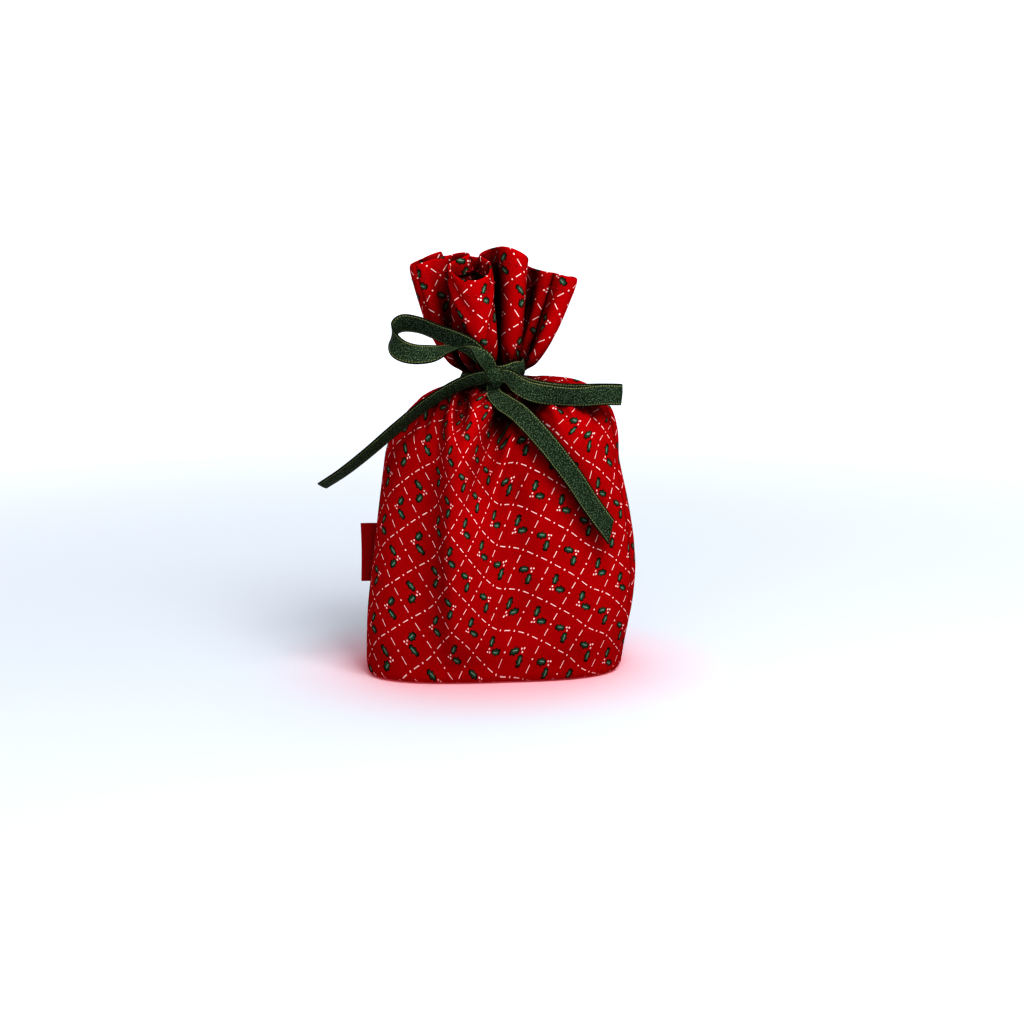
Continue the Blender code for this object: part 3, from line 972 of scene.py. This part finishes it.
LEFT_TAIL = [
    ((-3.4, -12.6, 105.0), (-0.10, -0.30, 0.95)),
    ((-6.2, -13.0, 104.6), (-0.15, -0.50, 0.85)),
    ((-10.7, -14.4, 103.6), (-0.15, -0.72, 0.68)),
    ((-17.6, -16.8, 100.6), (-0.26, -0.80, 0.55)),
    ((-26.2, -18.8, 95.2), (-0.30, -0.82, 0.48)),
    ((-34.9, -19.2, 88.2), (-0.32, -0.84, 0.46)),
    ((-45.3, -17.8, 79.2), (-0.28, -0.86, 0.44)),
    ((-54.0, -15.0, 72.2), (-0.25, -0.88, 0.42)),
    ((-61.6, -12.2, 67.0), (-0.22, -0.90, 0.40)),
]
RIGHT_TAIL = [
    ((-2.6, -12.8, 102.4), (0.98, 0.00, 0.12)),
    ((-2.0, -14.0, 98.9), (0.98, 0.00, 0.12)),
    ((1.6, -18.0, 96.2), (0.90, -0.10, 0.35)),
    ((6.9, -22.4, 93.0), (0.82, 0.05, 0.55)),
    ((15.3, -25.2, 84.2), (0.76, 0.15, 0.62)),
    ((24.0, -24.4, 72.8), (0.74, 0.28, 0.61)),
    ((30.8, -23.4, 62.4), (0.74, 0.34, 0.58)),
    ((37.6, -22.0, 53.0), (0.74, 0.38, 0.56)),
]

# How wide each ribbon is along its length: it is gathered where it enters the knot.
GATHERED_START = (0.62, 0.8, 0.95) + (1.0,) * 18
GATHERED_BOTH = (0.62, 0.78, 0.93) + (1.0,) * 15 + (0.93, 0.78, 0.62)


def ribbon_line(route):
    """Even points along a ribbon's route, with unit directions along it, across it and off its face."""
    small = 0.001  # keeps the directions from counting in the curve's length
    both = smooth_curve([(*place, *np.multiply(width, small)) for place, width in route], 400)
    both = even_steps(both, round(lengths_along(both[:, :3])[-1] / RIBBON_STEP) + 1)
    place, width = both[:, :3], both[:, 3:] / small
    along = unit(np.gradient(place, axis=0))
    width = unit(width - along * (width * along).sum(axis=1)[:, None])
    return place, along, width, np.cross(along, width)


def add_ribbon(name, route, material, widths, slant):
    """A ribbon of real thickness. One edge of its far end reaches slant further than the middle."""
    place, along, width, face = ribbon_line(route)
    reached = lengths_along(place)
    widths = np.interp(reached / reached[-1], np.linspace(0, 1, len(widths)), widths)
    side = np.linspace(-1, 1, RIBBON_LANES)
    cupped = 0.25 * (side**2 - 0.4)
    ends = np.interp(reached, (reached[-1] - 4, reached[-1]), (0, slant))
    rows, flat = [], []
    for i in range(len(place)):
        reach = side * widths[i] * RIBBON_WIDTH / 2
        section = place[i] + reach[:, None] * width[i] + cupped[:, None] * face[i]
        section += (side * ends[i])[:, None] * along[i]
        rows.append(section)
        flat.append(np.column_stack([reached[i] + side * ends[i], side * RIBBON_WIDTH / 2]))
    made = grid_object(name, np.array(rows), np.array(flat), material, "ribbon")
    thicken(made, RIBBON_THICK, rounds=0)
    return made, place * MM


def add_ribbons(material):
    """The two loops and two tails, each one a free length of the ribbon."""
    for node, route, body, far_end, lay, slant in (
        ("ribbon_left_loop", LEFT_LOOP, "left_loop", "object", "loose", 0),
        ("ribbon_right_loop", RIGHT_LOOP, "right_loop", "object", "loose", 0),
        ("ribbon_left_tail", LEFT_TAIL, "left_tail", "bare", "hanging", -0.8),
        ("ribbon_right_tail", RIGHT_TAIL, "right_tail", "bare", "hanging", -2.7),
    ):
        widths = GATHERED_BOTH if far_end == "object" else GATHERED_START
        piece, path = add_ribbon(node.replace("ribbon", "bow"), route, material, widths, slant)
        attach(piece, body)
        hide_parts(node)


def add_ribbon_ring(name, node, ring, length, material):
    """A closed turn of ribbon, length long on the flat: rows go round, the first one comes again last."""
    closed = np.concatenate([ring, ring[:1]])
    reached = np.linspace(0, length, len(closed))[:, None]
    side = np.linspace(-1, 1, ring.shape[1])[None, :]
    flat = np.stack(np.broadcast_arrays(reached, side * RIBBON_WIDTH / 2), axis=-1)
    piece = grid_object(name, closed, flat, material, "ribbon")
    thicken(piece, RIBBON_THICK)
    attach(piece, "pouch")
    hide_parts(node)


def add_neck_wrap(material):
    """The turn of ribbon round the neck: higher on the right, bunched up on the left."""
    count, lanes = 160, 13
    turn = np.linspace(0, 2 * math.pi, count, endpoint=False)[:, None]
    side = np.linspace(-1, 1, lanes)[None, :]
    cosine, sine = np.cos(turn), np.sin(turn)
    left = np.clip(-cosine, 0, 1) * np.clip(0.4 - sine, 0, 1)
    right = np.clip(cosine, 0, 1) * np.clip(0.5 - sine, 0, 1)
    bulge = 0.9 * (1 - side**2) * (1 + 0.5 * right)
    folds = left * 0.7 * np.sin(side * 7.0 + turn * 9.0) + 0.12 * np.sin(turn * 11 + side * 4)
    swell = 0.7 + bulge + folds
    x = NECK_CENTRE[0] + cosine * (NECK_HALF[0] - 1.0 * np.clip(cosine, 0, 1) + swell)
    y = NECK_CENTRE[1] + sine * (NECK_HALF[1] + swell)
    middle = TIE_HEIGHT - 0.3 + cosine * 2.3
    half = RIBBON_WIDTH / 2 * (0.92 - 0.22 * left + 0.08 * np.sin(turn * 3.0))
    z = middle + side * half + 0.3 * np.sin(turn * 7 + side)
    ring = np.stack([x, y, z], axis=-1)
    add_ribbon_ring("bow_neck_wrap", "ribbon_neck_wrap", ring, 60.0, material)


def add_knot(material):
    """The ribbon's turn over the middle of the bow, creased where it is pulled tight."""
    count, lanes = 72, 13
    turn = np.linspace(0, 2 * math.pi, count, endpoint=False)[:, None]
    side = np.linspace(-1, 1, lanes)[None, :]
    front = np.clip(-np.cos(turn), 0, 1)
    crease = 0.28 * np.sin(side * 8.0 + 1.3 * np.sin(turn)) + 0.15 * np.sin(side * 15.0 + turn * 2)
    swell = 1 - 0.22 * side**2 - 0.42 * side**6 + crease * 0.16
    depth = 3.6 * swell * (1 + 0.12 * front)
    height = 3.7 * swell
    across = side * (2.3 + 0.4 * np.cos(2 * turn) + 0.3 * np.sin(3 * turn))
    lean = 0.8 * np.sin(turn)
    x = KNOT_CENTRE[0] + across - lean
    y = KNOT_CENTRE[1] + np.cos(turn) * depth
    z = KNOT_CENTRE[2] + np.sin(turn) * height + across * 0.25
    ring = np.stack(np.broadcast_arrays(x, y, z), axis=-1)
    add_ribbon_ring("bow_knot", "ribbon_knot", ring, 24.0, material)


# ---- label and threads --------------------------------------------------------------

LABEL_EDGE = -50.0
LABEL_LOW = 30.6
LABEL_HIGH = 51.6
LABEL_THICK = 0.25
LABEL_BITE = 1.2  # how far its two ends reach in past the seam
THREAD_RADIUS = 0.16
STITCH = 2.4
SEAM_DEPTH = 0.6  # how far inside the cloth the seams' stitches lie
SEAM_DIP = 0.3
HEM_OUTSIDE = 0.28  # how far the hem's stitches stand out of the cloth


def outward(cloth):
    """Unit directions out of the pouch at each point of its cloth."""
    along = np.roll(cloth, -1, axis=1) - np.roll(cloth, 1, axis=1)
    up = np.gradient(cloth, axis=0)
    return unit(np.cross(along, up))


def add_label(cloth, material):
    """A tape folded double, its two ends caught in the left side seam."""
    seam = cloth[:, 0]
    order = np.argsort(seam[:ROWS_BELOW, 2])
    heights = np.linspace(LABEL_LOW, LABEL_HIGH, 22)
    root = np.interp(heights, seam[order, 2], seam[order, 0]) + LABEL_BITE
    root_y = np.interp(heights, seam[order, 2], seam[order, 1])
    lane = [(0.0, -0.22), (0.3, -0.3), (0.6, -0.36), (0.9, -0.34), (0.97, -0.26), (1.0, 0.0)]
    lane += [(share, -y) for share, y in lane[-2::-1]]
    rows, flat = [], []
    for height, start, depth in zip(heights, root, root_y):
        rise = (height - LABEL_LOW) / (LABEL_HIGH - LABEL_LOW)
        edge = LABEL_EDGE + 0.25 * math.sin(rise * 2.5)
        bend = 0.5 * math.sin(rise * math.pi) - 0.4
        rows.append(
            [
                (start + (edge - start) * share, depth * (1 - share) + y + bend * share**2, height)
                for share, y in lane
            ]
        )
        flat.append([(index * 1.2, height) for index in range(len(lane))])
    made = grid_object("folded_label", np.array(rows), np.array(flat), material, "label")
    thicken(made, LABEL_THICK)
    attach(made, "label")
    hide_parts("side_label")


def add_thread(name, line, face, inside, outside, node, material):
    """A row of stitches along a line on the cloth: it dips between two depths off the surface."""
    points = np.column_stack([line, face])
    length = lengths_along(line)[-1]
    points = even_steps(points, round(length / 0.4) + 1)
    line, face = points[:, :3], points[:, 3:]
    reached = np.linspace(0, length, len(line))
    wave = np.tanh(3.0 * np.sin(reached * 2 * math.pi / STITCH))
    depth = (inside + outside) / 2 + (outside - inside) / 2 * wave
    line = line + face * depth[:, None]
    along = unit(np.gradient(line, axis=0))
    side = unit(np.cross(along, face))
    up = np.cross(side, along)
    turn = np.linspace(0, 2 * math.pi, 7)
    twist = reached[:, None] * 2.0 + turn[None, :]
    reach = THREAD_RADIUS * (1 + 0.12 * np.cos(2 * twist))
    ring = line[:, None] + (np.cos(turn) * reach)[..., None] * side[:, None]
    ring = ring + (np.sin(turn) * reach)[..., None] * up[:, None]
    flat = np.stack(np.broadcast_arrays(reached[:, None], turn[None, :]), axis=-1)
    made = grid_object(name, ring, flat, material, "thread")
    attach(made, "pouch")
    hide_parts(node)


def add_threads(cloth, material):
    """The stitches of both side seams, the bottom seam and the hem."""
    face = outward(cloth)
    shallow, deep = -SEAM_DEPTH, -SEAM_DEPTH - SEAM_DIP
    seam_face = unit(sum(np.roll(face, shift, axis=1) for shift in range(-5, 6)))
    for name, column, node in (
        ("left_seam_stitches", 0, "left_seam_thread"),
        ("right_seam_stitches", RIGHT_SEAM, "right_seam_thread"),
    ):
        line, turned = cloth[8:-4, column], seam_face[8:-4, column]
        add_thread(name, line, turned, deep, shallow, node, material)
    line = cloth[0, 1:RIGHT_SEAM]
    turned = np.tile((0.0, 0.0, -1.0), (len(line), 1))
    add_thread("bottom_seam_stitches", line, turned, deep, shallow, "bottom_seam_thread", material)
    hem, hem_face = below_mouth(cloth, face, HEM_DEPTH - 1.0)
    hem = np.vstack([hem, hem[:1]])
    hem_face = np.vstack([hem_face, hem_face[:1]])
    add_thread("hem_stitches", hem, hem_face, -HEM_GAP - 0.5, HEM_OUTSIDE, "hem_thread", material)


def below_mouth(cloth, face, depth):
    """The line round the cloth at a depth below the mouth's edge, and its outward directions."""
    line, turned = [], []
    for column in range(COLUMNS):
        top = cloth[: -ROWS_ABOVE : -1, column]
        reached = lengths_along(top)
        line.append([np.interp(depth, reached, top[:, k]) for k in range(3)])
        turned.append([np.interp(depth, reached, face[: -ROWS_ABOVE : -1, column, k]) for k in range(3)])
    return np.array(line), np.array(turned)


# ---- studio -----------------------------------------------------------------------

FLOOR_FRONT = -1500.0
FLOOR_BACK = 900.0  # where the sweep starts
SWEEP_RADIUS = 600.0
STAGE_TOP = 2500.0
STAGE_HALF = 2500.0

LIGHTS = (  # name, place and size in metres, power in watts
    ("key", (0.14, -0.22, 0.46), 0.22, 1.7),
    ("fill", (-0.3, -0.8, 0.6), 0.8, 0.2),
    ("front", (0.0, -0.26, 0.26), 0.16, 0.08),
)
LIGHTS_TARGET = (0.0, 0.0, 0.06)


def add_stage(material):
    """A floor that sweeps up into a backdrop."""
    profile = [(FLOOR_FRONT, 0.0), (FLOOR_BACK, 0.0)]
    for turn in range(5, 91, 5):
        angle = math.radians(turn)
        profile.append((FLOOR_BACK + SWEEP_RADIUS * math.sin(angle), SWEEP_RADIUS * (1 - math.cos(angle))))
    profile.append((FLOOR_BACK + SWEEP_RADIUS, STAGE_TOP))
    grid = np.array([[(x, y, z) for x in (-STAGE_HALF, STAGE_HALF)] for y, z in profile])
    floor = grid_object("studio_floor", grid, grid[..., :2], material, "floor")


def add_lights():
    """An even pale world, and area lights that face the pouch."""
    world = bpy.data.worlds.new("world")
    bpy.context.scene.world = world
    world.use_nodes = True
    background = world.node_tree.nodes["Background"]
    background.inputs["Color"].default_value = (0.93, 0.96, 1.0, 1.0)
    background.inputs["Strength"].default_value = 0.28
    for name, place, size, energy in LIGHTS:
        light = bpy.data.lights.new(name, "AREA")
        light.size = size
        light.energy = energy
        made = bpy.data.objects.new(name, light)
        made.location = place
        towards = Vector(LIGHTS_TARGET) - Vector(place)
        made.rotation_euler = towards.to_track_quat("-Z", "Y").to_euler()
        bpy.context.scene.collection.objects.link(made)


# ---- the whole scene ------------------------------------------------------------------


def add_hem(cloth, flat):
    """The cloth and its flat places with extra rows past the mouth's edge, turned inwards and down."""
    face = outward(cloth)
    rows, places = [cloth], [flat]
    for depth, share in ((0.1, 0.5), (0.5, 0.95), (2.0, 1.0), (3.5, 1.0), (5.0, 1.0), (HEM_DEPTH, 1.0)):
        line, turned = below_mouth(cloth, face, depth)
        rows.append((line - turned * HEM_GAP * share)[None])
        place = flat[-1:].copy()
        place[..., 1] += depth
        places.append(place)
    return np.concatenate(rows), np.concatenate(places)


def add_pouch(material_front, material_back):
    """The front and back cloth with their hems, split at the side seams. Returns the cloth's grid."""
    start = start_shape()
    flat = flat_places(start)
    cloth = creased(smoothed(relax(start, flat)))
    seams = [0, RIGHT_SEAM]
    cloth[:, seams] -= outward(cloth)[:, seams] * SEAM_PINCH
    full, places = add_hem(cloth, print_places(cloth, flat))
    closed = np.concatenate([full, full[:, :1]], axis=1)
    uv = np.concatenate([places, places[:, :1] + (2 * PANEL_WIDTH, 0)], axis=1)
    front_part, front_uv = closed[:, : RIGHT_SEAM + 1], uv[:, : RIGHT_SEAM + 1]
    front = grid_object("front_cloth", front_part, turned_print(front_part, front_uv), material_front)
    back = grid_object("back_cloth", closed[:, RIGHT_SEAM:], uv[:, RIGHT_SEAM:], material_back)
    for piece, node in ((front, "front_panel"), (back, "back_panel")):
        thicken(piece, CLOTH_THICK)
        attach(piece, "pouch")
        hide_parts(node)
    return cloth


def main():
    view = bpy.context.scene.view_settings
    view.view_transform = "Standard"
    view.look = "High Contrast"
    add_camera()
    ribbon = ribbon_material()
    add_ribbons(ribbon)
    add_neck_wrap(ribbon)
    add_knot(ribbon)
    cloth = add_pouch(printed_cotton((0.0, 0.0)), printed_cotton(BACK_SHIFT))
    add_label(cloth, label_material())
    add_threads(cloth, thread_material())
    add_stage(studio_material())
    add_lights()


main()
